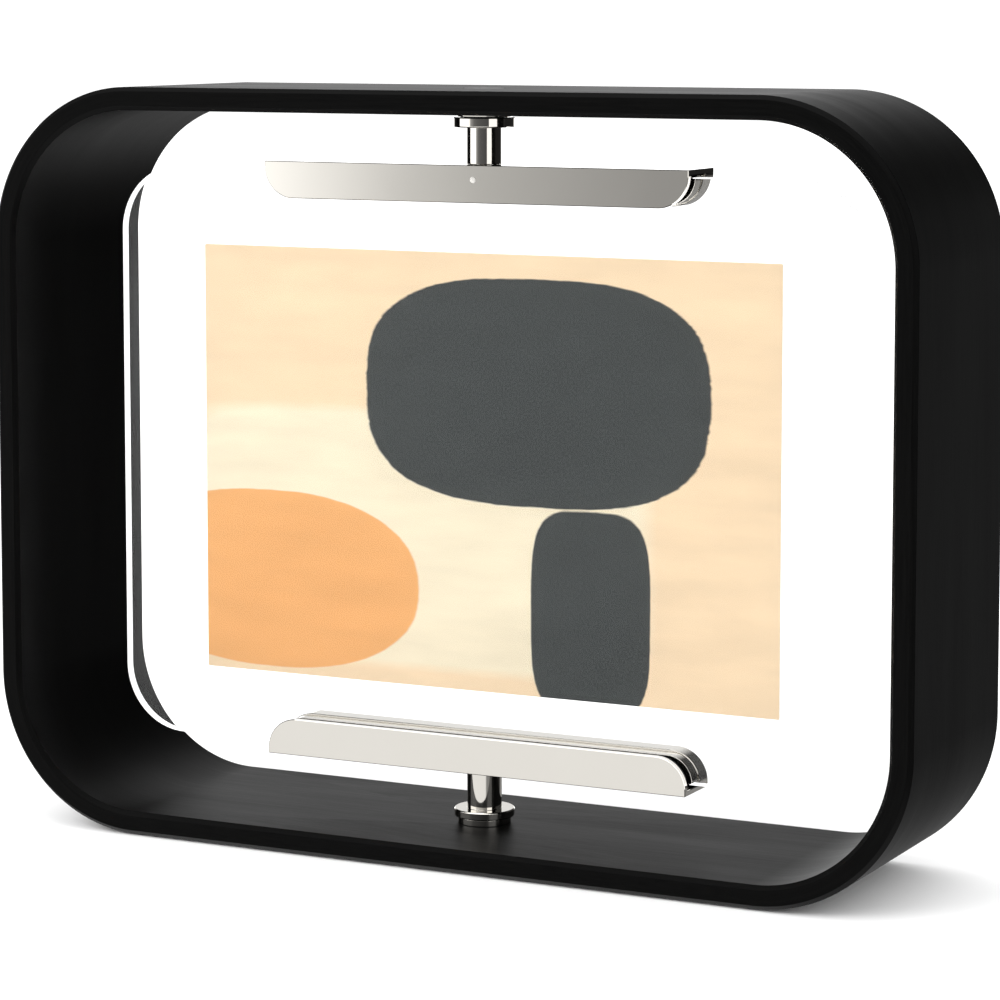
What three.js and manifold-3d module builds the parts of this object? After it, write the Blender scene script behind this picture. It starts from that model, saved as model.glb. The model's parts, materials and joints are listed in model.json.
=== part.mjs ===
// Swivel picture frame: two clear panes hold a print between them, the panes stand in an upper and a lower
// channel, and the channels turn on a vertical axis inside a rounded-rectangle hoop.
// Millimetres. +X to the right, +Y to the rear, +Z up. Origin: middle of the footprint, on the table.
import * as THREE from 'three';
import * as BufferGeometryUtils from 'three/addons/utils/BufferGeometryUtils.js';
import Module from 'manifold-3d';

const wasm = await Module();
wasm.setup();

// ---------- driving dimensions ----------
const hoop = { width: 278, height: 212, depth: 69, radius: 44, wall: 6.5, chamfer: 1.2 };
const basePad = { diameter: 14, thickness: 1.2, proud: 0.4, x: 85, y: 24, pocketGap: 0.15 };

// Pivot stack. Heights are counted inwards from the hoop's outer face.
const pivot = {
  counterboreRadius: 5.9, counterboreDepth: 3.8, holeRadius: 4.3,
  capRadius: 5.7, capThickness: 1.0,
  bushFlangeRadius: 5.6, bushFlangeStart: 2.9, bushFlangeEnd: 3.7,
  bushRadius: 4.2, bushEnd: 6.4, boreRadius: 3.15,
  screwHeadRadius: 4.0, screwHeadStart: 1.3, screwHeadEnd: 2.8, screwRadius: 1.5, screwEnd: 11.0,
  journalRadius: 3.05, journalStart: 3.0, screwHoleRadius: 1.6, screwHoleEnd: 11.3,
  ringRadius: 7.5, ringStart: 6.55, ringBore: 3.4, ringRecessRadius: 6.4, ringRecessDepth: 0.8,
  washerOuter: 6.0, washerInner: 3.6, washerThickness: 0.3, washerWave: 0.14,
  discRadius: 8.5, discEnd: 10.7, discChamfer: 0.3, ringToDisc: 0.1,
  postRadius: 4.85,
};

const discStart = { bottom: 8.45, top: 7.9 };   // the upper disc is the thicker one

const channel = {
  length: 130, depth: 17.2, height: 10.4, endRadius: 9, floor: 1.5,
  frontCheek: 1.8, rearCheek: 5.55,
  bottomFace: 21.6,                     // underside of the lower channel, above the hoop's underside
  topFace: 191.1,                       // upper side of the upper channel
};
const postGap = 0.05;                   // between a post's end and its channel
const channelScrew = {
  headRadius: 3.0, headHeight: 1.3, radius: 1.5, length: 6.5, sink: 0.1, gap: 0.1, holeDepth: 7,
};
const hexKey = { radius: 1.15, depth: 0.9 };   // socket of the pivot and channel screws
const clampStrip = { length: 129, thickness: 3.8, height: 8.0, endRadius: 7.6, floorGap: 0.3 };
const clampScrew = {
  radius: 1.4, holeRadius: 1.55, x: 40, sink: 0.3, tipGap: 0.1, socket: 0.8, socketDepth: 1.6,
};
const stopScrew = { radius: 0.85, holeRadius: 0.9, x: 0.75, fromOpenEdge: 6.4, sink: 0.05, tipGap: 0.15 };
const frontLiner = { length: 129, thickness: 1.0, height: 8.4, endRadius: 8.2, floorGap: 0.3, sideGap: 0.08 };
const bottomPad = { length: 122, thickness: 1.1 };

const stripGap = 0.3;                   // between a clamp strip and the rear wall of its slot
const pane = { width: 228.5, height: 164.6, thickness: 2.0, radius: 19, bottom: 24.4 };
const print = { width: 177.8, height: 122.3, thickness: 0.2, x: 1.6, bottom: 44.4 };
const printGap = 0.05;                  // between the print and each pane

// Faceting. Counts on the swivel axis are multiples of twelve, so that facets meet again every 30 degrees.
const facets = { pivot: 36, screw: 24, small: 12, hoopCorner: 12, paneCorner: 8, channelCorner: 9 };

// Positions that follow from the dimensions, along Y.
const channelFront = -channel.depth / 2;
const slotFront = channelFront + channel.frontCheek;
const slotRear = channel.depth / 2 - channel.rearCheek;
const frontPaneY = slotFront + frontLiner.thickness + 2 * frontLiner.sideGap;
const printY = frontPaneY + pane.thickness + printGap;
const rearPaneY = printY + print.thickness + printGap;

// ---------- materials ----------
const finish = (color, roughness, metalness, extra = {}) =>
  new THREE.MeshStandardMaterial({ color, roughness, metalness, ...extra });
const materials = {
  blackWood: finish(0x121212, 0.4, 0.0),
  polishedNickel: finish(0xcfc9bd, 0.08, 1.0),
  steel: finish(0x9a9a98, 0.3, 1.0),
  blackCap: finish(0x1c1c1c, 0.45, 0.0),
  whitePlastic: finish(0xe6e4de, 0.5, 0.0),
  rubber: finish(0x242424, 0.85, 0.0),
  clearPane: finish(0xf4fbff, 0.02, 0.0, { transparent: true, opacity: 0.2 }),
  paper: finish(0xf3d6ad, 0.8, 0.0),
};

// ---------- helpers ----------
function cleaned(geometry) {
  geometry.deleteAttribute('normal');
  geometry.deleteAttribute('uv');
  return BufferGeometryUtils.mergeVertices(geometry, 1e-4);
}

function toSolid(geometry) {
  const merged = cleaned(geometry.clone());
  return new wasm.Manifold(new wasm.Mesh({
    numProp: 3,
    vertProperties: new Float32Array(merged.attributes.position.array),
    triVerts: new Uint32Array(merged.index.array),
  }));
}

function fromSolid(solid) {
  const mesh = solid.getMesh();
  const geometry = new THREE.BufferGeometry();
  geometry.setAttribute('position', new THREE.BufferAttribute(mesh.vertProperties, 3));
  geometry.setIndex(new THREE.BufferAttribute(mesh.triVerts, 1));
  geometry.computeVertexNormals();
  return geometry;
}

function cut(body, ...tools) {
  return fromSolid(tools.reduce((solid, tool) => solid.subtract(toSolid(tool)), toSolid(body)));
}

// Round piece about Z. The profile runs anticlockwise in (radius, height), from the axis back to the axis,
// or closed on itself for a ring.
function turned(profile, segments) {
  const points = profile.map(([radius, height]) => new THREE.Vector2(radius, height));
  return new THREE.LatheGeometry(points, segments).rotateX(Math.PI / 2);
}

function turnedRing(profile, segments) {
  return turned([...profile, profile[0]], segments);
}

// Round pin along Y from y0 to y1, centred at x and z.
function pinAlongY(radius, y0, y1, x, z, segments) {
  return new THREE.CylinderGeometry(radius, radius, y1 - y0, segments).translate(x, (y0 + y1) / 2, z);
}

// Cutter for a hexagonal socket on the Z axis. It opens at height z, and a positive depth runs down from it.
function hexSocket(z, depth) {
  const past = Math.sign(depth);
  const middle = z + (past - depth) / 2;
  return new THREE.CylinderGeometry(hexKey.radius, hexKey.radius, Math.abs(depth) + 1, 6)
    .rotateX(Math.PI / 2).translate(0, 0, middle);
}

// Rounded rectangle about (0, 0).
function roundedRectangle(width, height, radius, inset = 0, PathType = THREE.Shape) {
  const x = width / 2 - inset;
  const y = height / 2 - inset;
  const r = radius - inset;
  const path = new PathType();
  path.moveTo(x, -y + r);
  path.lineTo(x, y - r);
  path.absarc(x - r, y - r, r, 0, Math.PI / 2);
  path.absarc(-x + r, y - r, r, Math.PI / 2, Math.PI);
  path.absarc(-x + r, -y + r, r, Math.PI, Math.PI * 1.5);
  path.absarc(x - r, -y + r, r, Math.PI * 1.5, Math.PI * 2);
  return path;
}

// Bar outline in (X, Z) that stands on z = 0 with square lower corners and round upper ones.
function cheekOutline(length, height, radius) {
  const x = length / 2;
  const shape = new THREE.Shape();
  shape.moveTo(-x, 0);
  shape.lineTo(x, 0);
  shape.lineTo(x, height - radius);
  shape.absarc(x - radius, height - radius, radius, 0, Math.PI / 2);
  shape.lineTo(-x + radius, height);
  shape.absarc(-x + radius, height - radius, radius, Math.PI / 2, Math.PI);
  return shape;
}

// Shape drawn in (X, Z) and extruded along Y from y0 to y1.
function extrudedAlongY(shape, y0, y1, curveSegments, bevel = 0) {
  const geometry = new THREE.ExtrudeGeometry(shape, {
    depth: y1 - y0 - 2 * bevel,
    curveSegments,
    bevelEnabled: bevel > 0,
    bevelThickness: bevel,
    bevelSize: bevel,
    bevelSegments: 1,
  });
  return geometry.rotateX(Math.PI / 2).translate(0, y1 - bevel, 0);
}

function box(x0, x1, y0, y1, z0, z1) {
  return new THREE.BoxGeometry(x1 - x0, y1 - y0, z1 - z0)
    .translate((x0 + x1) / 2, (y0 + y1) / 2, (z0 + z1) / 2);
}

function addPiece(group, name, geometry, material) {
  const mesh = new THREE.Mesh(geometry, material);
  mesh.name = name;
  group.add(mesh);
  return mesh;
}

// ---------- scene graph ----------
const frame = new THREE.Group();
const standing = new THREE.Group();     // the hoop's own frame: z = 0 is its underside
standing.position.z = basePad.proud;
frame.add(standing);

// Each pivot is drawn from the hoop's outer face inwards. The upper one is the same stack turned over.
const bottomPivot = new THREE.Group();
const topPivot = new THREE.Group();
topPivot.position.z = hoop.height;
topPivot.rotation.x = Math.PI;
standing.add(bottomPivot, topPivot);

// ---------- hoop ----------
function pivotHole() {
  const { counterboreRadius, counterboreDepth, holeRadius } = pivot;
  const past = 2;
  return turned([
    [0, -past], [counterboreRadius, -past], [counterboreRadius, counterboreDepth],
    [holeRadius, counterboreDepth], [holeRadius, hoop.wall + past], [0, hoop.wall + past],
  ], facets.pivot);
}

function hoopGeometry() {
  const { width, height, depth, radius, wall, chamfer } = hoop;
  const ring = roundedRectangle(width, height, radius, chamfer);
  ring.holes.push(roundedRectangle(width, height, radius, wall - chamfer, THREE.Path));
  const blank = extrudedAlongY(ring, -depth / 2, depth / 2, facets.hoopCorner, chamfer);
  blank.translate(0, 0, height / 2);
  const pockets = padPlaces().map(({ x, y }) => {
    const pocketDepth = basePad.thickness - basePad.proud;
    const radiusWithGap = basePad.diameter / 2 + basePad.pocketGap;
    const profile = [[0, -1], [radiusWithGap, -1], [radiusWithGap, pocketDepth], [0, pocketDepth]];
    return turned(profile, facets.screw).translate(x, y, 0);
  });
  const topHole = pivotHole().rotateX(Math.PI).translate(0, 0, height);
  return cut(blank, pivotHole(), topHole, ...pockets);
}

function padPlaces() {
  return [
    { name: 'front_left', x: -basePad.x, y: -basePad.y },
    { name: 'front_right', x: basePad.x, y: -basePad.y },
    { name: 'rear_left', x: -basePad.x, y: basePad.y },
    { name: 'rear_right', x: basePad.x, y: basePad.y },
  ];
}

addPiece(standing, 'hoop', hoopGeometry(), materials.blackWood);

for (const place of padPlaces()) {
  const radius = basePad.diameter / 2;
  const top = basePad.thickness - basePad.proud;
  const profile = [[0, -basePad.proud], [radius, -basePad.proud], [radius, top], [0, top]];
  const pad = addPiece(standing, `base_pad_${place.name}`, turned(profile, facets.screw), materials.rubber);
  pad.position.set(place.x, place.y, 0);
}

// ---------- pivot parts, from the hoop's outer face inwards ----------
function capGeometry() {
  const { capRadius, capThickness } = pivot;
  return turned([[0, 0], [capRadius, 0], [capRadius, capThickness], [0, capThickness]], facets.pivot);
}

function bushGeometry() {
  const { boreRadius, bushFlangeStart, bushFlangeEnd, bushFlangeRadius, bushRadius, bushEnd } = pivot;
  return turnedRing([
    [boreRadius, bushFlangeStart], [bushFlangeRadius, bushFlangeStart], [bushFlangeRadius, bushFlangeEnd],
    [bushRadius, bushFlangeEnd], [bushRadius, bushEnd], [boreRadius, bushEnd],
  ], facets.pivot);
}

function ringEnd(side) {
  return discStart[side] - pivot.ringToDisc;
}

function recessStart(side) {
  return ringEnd(side) - pivot.ringRecessDepth;
}

function bearingRingGeometry(side) {
  const { ringBore, ringStart, ringRadius, ringRecessRadius } = pivot;
  return turnedRing([
    [ringBore, ringStart], [ringRadius, ringStart], [ringRadius, ringEnd(side)],
    [ringRecessRadius, ringEnd(side)], [ringRecessRadius, recessStart(side)], [ringBore, recessStart(side)],
  ], facets.pivot);
}

function waveWasherGeometry(side) {
  const { washerInner, washerOuter, washerThickness, washerWave } = pivot;
  const middle = (recessStart(side) + discStart[side]) / 2;
  const low = middle - washerThickness / 2;
  const high = middle + washerThickness / 2;
  const geometry = turnedRing([
    [washerInner, low], [washerOuter, low], [washerOuter, high], [washerInner, high],
  ], facets.pivot);
  const position = geometry.attributes.position;
  for (let i = 0; i < position.count; i += 1) {
    const angle = Math.atan2(position.getY(i), position.getX(i));
    position.setZ(i, position.getZ(i) + washerWave * Math.cos(3 * angle));
  }
  return geometry;
}

function pivotScrewGeometry() {
  const { screwHeadStart, screwHeadEnd, screwHeadRadius, screwRadius, screwEnd } = pivot;
  const screw = turned([
    [0, screwHeadStart], [screwHeadRadius, screwHeadStart], [screwHeadRadius, screwHeadEnd],
    [screwRadius, screwHeadEnd], [screwRadius, screwEnd], [0, screwEnd],
  ], facets.screw);
  return cut(screw, hexSocket(screwHeadStart, -hexKey.depth));
}

function spindleGeometry(side, postEnd) {
  const p = pivot;
  const chamfer = p.discChamfer;
  const discFace = discStart[side];
  const holeStart = postEnd - channelScrew.holeDepth;
  return turned([
    [0, p.screwHoleEnd], [p.screwHoleRadius, p.screwHoleEnd],
    [p.screwHoleRadius, p.journalStart], [p.journalRadius, p.journalStart],
    [p.journalRadius, discFace], [p.discRadius - chamfer, discFace],
    [p.discRadius, discFace + chamfer], [p.discRadius, p.discEnd - chamfer],
    [p.discRadius - chamfer, p.discEnd], [p.postRadius, p.discEnd],
    [p.postRadius, postEnd], [p.screwHoleRadius, postEnd],
    [p.screwHoleRadius, holeStart], [0, holeStart],
  ], facets.pivot);
}

const pivots = [
  { side: 'bottom', group: bottomPivot, postEnd: channel.bottomFace - postGap },
  { side: 'top', group: topPivot, postEnd: hoop.height - channel.topFace - postGap },
];
for (const { side, group, postEnd } of pivots) {
  addPiece(group, `${side}_cap`, capGeometry(), materials.blackCap);
  addPiece(group, `${side}_bush`, bushGeometry(), materials.whitePlastic);
  addPiece(group, `${side}_bearing_ring`, bearingRingGeometry(side), materials.polishedNickel);
  addPiece(group, `${side}_wave_washer`, waveWasherGeometry(side), materials.steel);
  addPiece(group, `${side}_pivot_screw`, pivotScrewGeometry(), materials.steel);
  addPiece(group, `${side}_spindle`, spindleGeometry(side, postEnd), materials.polishedNickel);
}

// ---------- channels, drawn standing on z = 0 with the slot open upwards ----------
// Half outline of the countersunk screw. A gap widens it for its hole, which also opens above the floor.
function channelScrewProfile(gap) {
  const { headRadius, headHeight, radius, length, sink } = channelScrew;
  const top = channel.floor - sink;
  const flank = [
    [0, top - length], [radius + gap, top - length],
    [radius + gap, top - headHeight], [headRadius + gap, top],
  ];
  const mouth = channel.floor + gap;
  return gap > 0 ? [...flank, [headRadius + gap, mouth], [0, mouth]] : [...flank, [0, top]];
}

function stopScrewHeight() {
  return channel.height - stopScrew.fromOpenEdge;
}

function clampScrewHeight() {
  return channel.floor + clampStrip.floorGap + clampStrip.height / 2;
}

function channelGeometry(withStopScrew) {
  const past = 2;
  const x = channel.length / 2 + past;
  const block = extrudedAlongY(
    cheekOutline(channel.length, channel.height, channel.endRadius),
    channelFront, channel.depth / 2, facets.channelCorner,
  );
  const tools = [
    box(-x, x, slotFront, slotRear, channel.floor, channel.height + past),
    turned(channelScrewProfile(channelScrew.gap), facets.screw),
  ];
  for (const side of [-1, 1]) {
    tools.push(pinAlongY(clampScrew.holeRadius, slotRear - past / 2, channel.depth / 2 + past,
      side * clampScrew.x, clampScrewHeight(), facets.screw));
  }
  if (withStopScrew) {
    tools.push(pinAlongY(stopScrew.holeRadius, channelFront - past, slotFront + past / 2,
      stopScrew.x, stopScrewHeight(), facets.small));
  }
  return cut(block, ...tools);
}

function channelScrewGeometry() {
  const top = channel.floor - channelScrew.sink;
  return cut(turned(channelScrewProfile(0), facets.screw), hexSocket(top, hexKey.depth));
}

function clampStripGeometry() {
  const { length, thickness, height, endRadius, floorGap } = clampStrip;
  const rear = slotRear - stripGap;
  return extrudedAlongY(cheekOutline(length, height, endRadius), rear - thickness, rear, facets.channelCorner)
    .translate(0, 0, channel.floor + floorGap);
}

function frontLinerGeometry() {
  const { length, thickness, height, endRadius, floorGap, sideGap } = frontLiner;
  const front = slotFront + sideGap;
  return extrudedAlongY(cheekOutline(length, height, endRadius), front, front + thickness, facets.channelCorner)
    .translate(0, 0, channel.floor + floorGap);
}

function clampScrewGeometry(x) {
  const tip = slotRear - stripGap + clampScrew.tipGap;
  const end = channel.depth / 2 - clampScrew.sink;
  const z = clampScrewHeight();
  return cut(
    pinAlongY(clampScrew.radius, tip, end, x, z, facets.screw),
    pinAlongY(clampScrew.socket, end - clampScrew.socketDepth, end + 1, x, z, 6),
  );
}

function stopScrewGeometry() {
  return pinAlongY(stopScrew.radius, channelFront + stopScrew.sink, slotFront - stopScrew.tipGap,
    stopScrew.x, stopScrewHeight(), facets.small);
}

function bottomPadGeometry() {
  const { length, thickness } = bottomPad;
  const rear = rearPaneY + pane.thickness;
  return box(-length / 2, length / 2, frontPaneY, rear, channel.floor, channel.floor + thickness);
}

// The upper channel is the mirror image of the lower one, so that both slots hold the same upright panes.
function mirroredInZ(geometry) {
  const solid = toSolid(geometry).mirror([0, 0, 1]);
  return fromSolid(solid);
}

const channels = [
  { side: 'bottom', z: channel.bottomFace, place: (geometry) => geometry },
  { side: 'top', z: channel.topFace, place: mirroredInZ },
];
for (const { side, z, place } of channels) {
  const group = new THREE.Group();
  group.position.z = z;
  standing.add(group);
  const pieces = [
    ['channel', channelGeometry(side === 'top'), materials.polishedNickel],
    ['channel_screw', channelScrewGeometry(), materials.steel],
    ['clamp_strip', clampStripGeometry(), materials.polishedNickel],
    ['front_liner', frontLinerGeometry(), materials.rubber],
    ['clamp_screw_left', clampScrewGeometry(-clampScrew.x), materials.steel],
    ['clamp_screw_right', clampScrewGeometry(clampScrew.x), materials.steel],
  ];
  for (const [name, geometry, material] of pieces) {
    addPiece(group, `${side}_${name}`, place(geometry), material);
  }
  if (side === 'top') {
    addPiece(group, 'pane_stop_screw', place(stopScrewGeometry()), materials.polishedNickel);
  } else {
    addPiece(group, 'bottom_pad', bottomPadGeometry(), materials.rubber);
  }
}

// ---------- pane pack ----------
const panePack = new THREE.Group();
panePack.position.z = pane.bottom + pane.height / 2;
standing.add(panePack);

function paneGeometry(y0) {
  const outline = roundedRectangle(pane.width, pane.height, pane.radius);
  return extrudedAlongY(outline, y0, y0 + pane.thickness, facets.paneCorner);
}

addPiece(panePack, 'front_pane', paneGeometry(frontPaneY), materials.clearPane);
addPiece(panePack, 'rear_pane', paneGeometry(rearPaneY), materials.clearPane);

const sheet = addPiece(panePack, 'print',
  new THREE.BoxGeometry(print.width, print.thickness, print.height), materials.paper);
const sheetHeight = print.bottom + print.height / 2 - panePack.position.z;
sheet.position.set(print.x, printY + print.thickness / 2, sheetHeight);

export default frame;
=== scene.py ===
# Swivel picture frame. Two clear panes hold a print between them. An upper and a lower nickel channel hold
# the panes, and turn on a vertical axis inside a satin black hoop. Sizes are in millimetres, and in_metres
# turns them into Blender's metres as a mesh is made.
import json
import math

import bmesh
import bpy
from mathutils import Matrix, Vector


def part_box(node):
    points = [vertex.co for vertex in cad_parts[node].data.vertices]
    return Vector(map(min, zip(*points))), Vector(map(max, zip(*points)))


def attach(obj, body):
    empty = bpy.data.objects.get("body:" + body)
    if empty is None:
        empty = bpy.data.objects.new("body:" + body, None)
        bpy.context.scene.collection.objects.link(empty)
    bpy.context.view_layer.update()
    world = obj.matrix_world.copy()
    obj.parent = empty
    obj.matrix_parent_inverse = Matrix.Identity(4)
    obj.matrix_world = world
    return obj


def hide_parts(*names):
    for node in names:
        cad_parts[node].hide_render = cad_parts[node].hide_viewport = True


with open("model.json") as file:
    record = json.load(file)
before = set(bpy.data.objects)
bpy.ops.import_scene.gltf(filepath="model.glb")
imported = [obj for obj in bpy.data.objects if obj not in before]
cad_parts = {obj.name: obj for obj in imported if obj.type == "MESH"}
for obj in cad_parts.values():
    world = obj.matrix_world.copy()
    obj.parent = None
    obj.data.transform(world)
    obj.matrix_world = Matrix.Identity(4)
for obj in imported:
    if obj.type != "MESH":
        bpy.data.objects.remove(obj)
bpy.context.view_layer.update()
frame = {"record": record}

MM = 0.001

# ---------- driving dimensions ----------
ROUND_SEGMENTS = 128            # round pieces on the swivel axis
SCREW_SEGMENTS = 64
CORNER_STEPS = 48               # steps in each round corner of the hoop, a pane or a channel
EDGE_STEPS = 3                  # steps in a softened edge
EDGE_ANGLE = math.radians(30)   # edges sharper than this are softened
SMOOTH_ANGLE = math.radians(35)
PAST = 1.0                      # how far a cutter reaches beyond the face that it cuts

HOOP = {"radius": 44.0, "wall": 6.5, "chamfer": 1.2, "edge": 0.3}
PIVOT_HOLE = {"counterbore": 5.9, "counterbore_depth": 3.8, "radius": 4.3, "mouth": 0.15}
PAD_POCKET_GAP = 0.15

# Pivot pieces, with heights counted inwards from the hoop's outer face.
CAP = {"thickness": 1.0, "edge": 0.15}
BUSH = {"bore": 3.15, "flange": 5.6, "start": 2.9, "flange_end": 3.7, "radius": 4.2, "end": 6.4, "edge": 0.12}
PIVOT_SCREW = {"head": 4.0, "start": 1.3, "head_end": 2.8, "radius": 1.5, "end": 11.0, "edge": 0.2}
DISC_START = {"bottom": 8.45, "top": 7.9}   # the upper disc is the thicker one
RING = {"bore": 3.4, "start": 6.55, "gap_to_disc": 0.1, "recess": 6.4, "recess_depth": 0.8, "edge": 0.15}
WASHER = {"outer": 6.0, "inner": 3.6, "thickness": 0.3, "wave": 0.14, "waves": 3, "edge": 0.08}
SPINDLE = {
    "screw_hole": 1.6, "screw_hole_end": 11.3, "journal": 3.05, "journal_start": 3.0, "journal_edge": 0.2,
    "disc": 8.5, "disc_end": 10.7, "disc_chamfer": 0.3, "edge": 0.12,
    "post": 4.85, "upper_hole_depth": 7.0, "post_edge": 0.15,
}

CHANNEL = {"corner": 9.0, "floor": 1.5, "front_cheek": 1.8, "rear_cheek": 5.55, "chamfer": 0.2}
CHANNEL_SCREW = {
    "head": 3.0, "head_height": 1.3, "radius": 1.5, "length": 6.5, "sink": 0.1, "gap": 0.1, "edge": 0.1,
}
STRIP = {"corner": 7.6, "edge": 0.2}
LINER = {"corner": 8.2, "edge": 0.15}
CLAMP_SCREW = {"hole": 1.55, "chamfer": 0.25, "point": 0.35, "socket": 0.8, "socket_depth": 1.6, "edge": 0.1}
STOP_SCREW = {"hole": 0.87, "chamfer": 0.02, "edge": 0.03, "reach": 0.06}
HEX_SOCKET = {"radius": 1.15, "depth": 0.9}
PANE = {"corner": 19.0, "edge": 0.25}
RIM_FACING = 0.99               # a pane's faces that lean further than this belong to its rim
RIM_PAINTED_GLOW = 1.5                  # painted glow: emission at the rim, in place of light that the pane gathers and lets out there
PRINT = {"corner": 0.4, "edge": 0.04}
BASE_PAD_EDGE = 0.3
BOTTOM_PAD_EDGE = 0.15

# ---------- camera, floor and light ----------
# Places are in metres, angles in degrees and the lens in millimetres.
CAMERA = {
    "place": (0.44179, -0.87684, 0.23583), "yaw": 26.488, "pitch": 5.898, "lens": 128.12, "shift_y": -0.13,
    "clip_start": 0.01,
}
KEY = {"place": (-0.9, -1.6, 1.2), "size": 1.4, "power": 19.5}
FLOOR = {"radius": 6.0, "grey": 0.95}
BACKDROP_LIGHT = 1.16           # what the camera sees behind the floor
ROOM_LIGHT = 1.6                # what lights every matt surface


def box_mm(node):
    """Lowest and highest corner of a CAD node, in millimetres."""
    low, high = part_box(node)
    return low / MM, high / MM


hoop_low, hoop_high = box_mm("hoop")
hoop_centre = (hoop_low + hoop_high) / 2
hoop_size = hoop_high - hoop_low


# ---------- mesh helpers ----------
def new_piece(name, mesh):
    """An object for a finished bmesh, with its faces pointing out."""
    bmesh.ops.recalc_face_normals(mesh, faces=mesh.faces)
    if mesh.calc_volume(signed=True) < 0:
        bmesh.ops.reverse_faces(mesh, faces=mesh.faces)
    data = bpy.data.meshes.new(name)
    mesh.to_mesh(data)
    mesh.free()
    piece = bpy.data.objects.new(name, data)
    bpy.context.scene.collection.objects.link(piece)
    return piece


def in_metres(*point):
    """A point given in millimetres, as a vector in metres."""
    return Vector(point) * MM


def softened(points, radius, closed=False, steps=EDGE_STEPS):
    """The outline with its corners rounded. The two ends of an open outline stay as they are."""
    result = []
    for i, point in enumerate(points):
        if not closed and i in (0, len(points) - 1):
            result.append(point)
            continue
        corner = Vector(point)
        before = Vector(points[i - 1]) - corner
        after = Vector(points[(i + 1) % len(points)]) - corner
        half = before.angle(after) / 2
        room = 0.4 * min(before.length, after.length)
        reach = min(radius / math.tan(half), room)
        inward = (before.normalized() + after.normalized()).normalized()
        centre = corner + inward * (reach / math.cos(half))
        first = corner + before.normalized() * reach - centre
        last = corner + after.normalized() * reach - centre
        turns = [first.slerp(last, step / steps) for step in range(steps + 1)]
        result += [tuple(centre + turn * first.length) for turn in turns]
    return result


def turned(name, profile, segments=ROUND_SEGMENTS):
    """A round piece about the Z axis from (radius, height) points, which run from the axis back to the axis,
    or close on themselves for a ring."""
    mesh = bmesh.new()
    rings = []
    for radius, height in profile:
        count = segments if radius > 0 else 1
        turns = [2 * math.pi * k / segments for k in range(count)]
        places = [(radius * math.cos(turn), radius * math.sin(turn)) for turn in turns]
        rings.append([mesh.verts.new(in_metres(x, y, height)) for x, y in places])
    neighbours = list(zip(rings, rings[1:]))
    if profile[0][0] > 0:
        neighbours.append((rings[-1], rings[0]))
    for lower, upper in neighbours:
        for k in range(segments):
            following = (k + 1) % segments
            corners = [lower[k % len(lower)], lower[following % len(lower)],
                       upper[following % len(upper)], upper[k % len(upper)]]
            mesh.faces.new(dict.fromkeys(corners))
    return new_piece(name, mesh)


def extruded(name, outline, front, rear):
    """A solid with this (x, z) outline from one depth to another."""
    mesh = bmesh.new()
    near = [mesh.verts.new(in_metres(x, front, z)) for x, z in outline]
    far = [mesh.verts.new(in_metres(x, rear, z)) for x, z in outline]
    mesh.faces.new(near)
    mesh.faces.new(far)
    for k in range(len(outline)):
        mesh.faces.new((near[k - 1], near[k], far[k], far[k - 1]))
    return new_piece(name, mesh)


def corner_arc(centre_x, centre_z, radius, quarter):
    """Points of a round corner, anticlockwise from the given quarter turn."""
    turns = [math.pi / 2 * (quarter + step / CORNER_STEPS) for step in range(CORNER_STEPS + 1)]
    return [(centre_x + radius * math.cos(turn), centre_z + radius * math.sin(turn)) for turn in turns]


def rounded_rectangle(low, high, radius):
    """Outline in (x, z) of a rounded rectangle that fills a box."""
    left, right = low.x + radius, high.x - radius
    bottom, top = low.z + radius, high.z - radius
    return (corner_arc(right, top, radius, 0) + corner_arc(left, top, radius, 1)
            + corner_arc(left, bottom, radius, 2) + corner_arc(right, bottom, radius, 3))


def cheek_outline(low, high, radius, upright):
    """Outline in (x, z) with two round corners: the upper ones if upright, otherwise the lower ones."""
    left, right = low.x + radius, high.x - radius
    if upright:
        return ([(low.x, low.z), (high.x, low.z)] + corner_arc(right, high.z - radius, radius, 0)
                + corner_arc(left, high.z - radius, radius, 1))
    return ([(high.x, high.z), (low.x, high.z)] + corner_arc(left, low.z + radius, radius, 2)
            + corner_arc(right, low.z + radius, radius, 3))


def block(name, low, high):
    """A block between two corners."""
    outline = [(low[0], low[2]), (high[0], low[2]), (high[0], high[2]), (low[0], high[2])]
    return extruded(name, outline, low[1], high[1])


def apply_modifiers(piece):
    """Makes the piece's modifiers part of its mesh."""
    shown = piece.evaluated_get(bpy.context.evaluated_depsgraph_get())
    data = bpy.data.meshes.new_from_object(shown)
    old = piece.data
    piece.modifiers.clear()
    piece.data = data
    bpy.data.meshes.remove(old)


def cut(piece, tools):
    """Takes the tools out of the piece, and deletes them."""
    for tool in tools:
        modifier = piece.modifiers.new("cut", "BOOLEAN")
        modifier.operation = "DIFFERENCE"
        modifier.solver = "MANIFOLD"
        modifier.object = tool
    apply_modifiers(piece)
    for tool in tools:
        bpy.data.meshes.remove(tool.data)
    return piece


def soften_edges(piece, width, steps=EDGE_STEPS):
    """Rounds every sharp edge of the piece, or chamfers it flat in one step."""
    modifier = piece.modifiers.new("edges", "BEVEL")
    modifier.width = width * MM
    modifier.segments = steps
    modifier.limit_method = "ANGLE"
    modifier.angle_limit = EDGE_ANGLE
    apply_modifiers(piece)


def shade(piece):
    """Smooth round faces with flat faces kept flat."""
    piece.data.shade_smooth()
    piece.data.set_sharp_from_angle(angle=SMOOTH_ANGLE)
    modifier = piece.modifiers.new("normals", "WEIGHTED_NORMAL")
    modifier.keep_sharp = True
    apply_modifiers(piece)


def moved(piece, matrix):
    """The piece with its mesh moved by a matrix, which may mirror it."""
    piece.data.transform(matrix)
    if matrix.determinant() < 0:
        piece.data.flip_normals()
    return piece


def body_of_node(node):
    return next(body for body, nodes in frame["record"]["behaviour"]["bodies"].items() if node in nodes)


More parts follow.
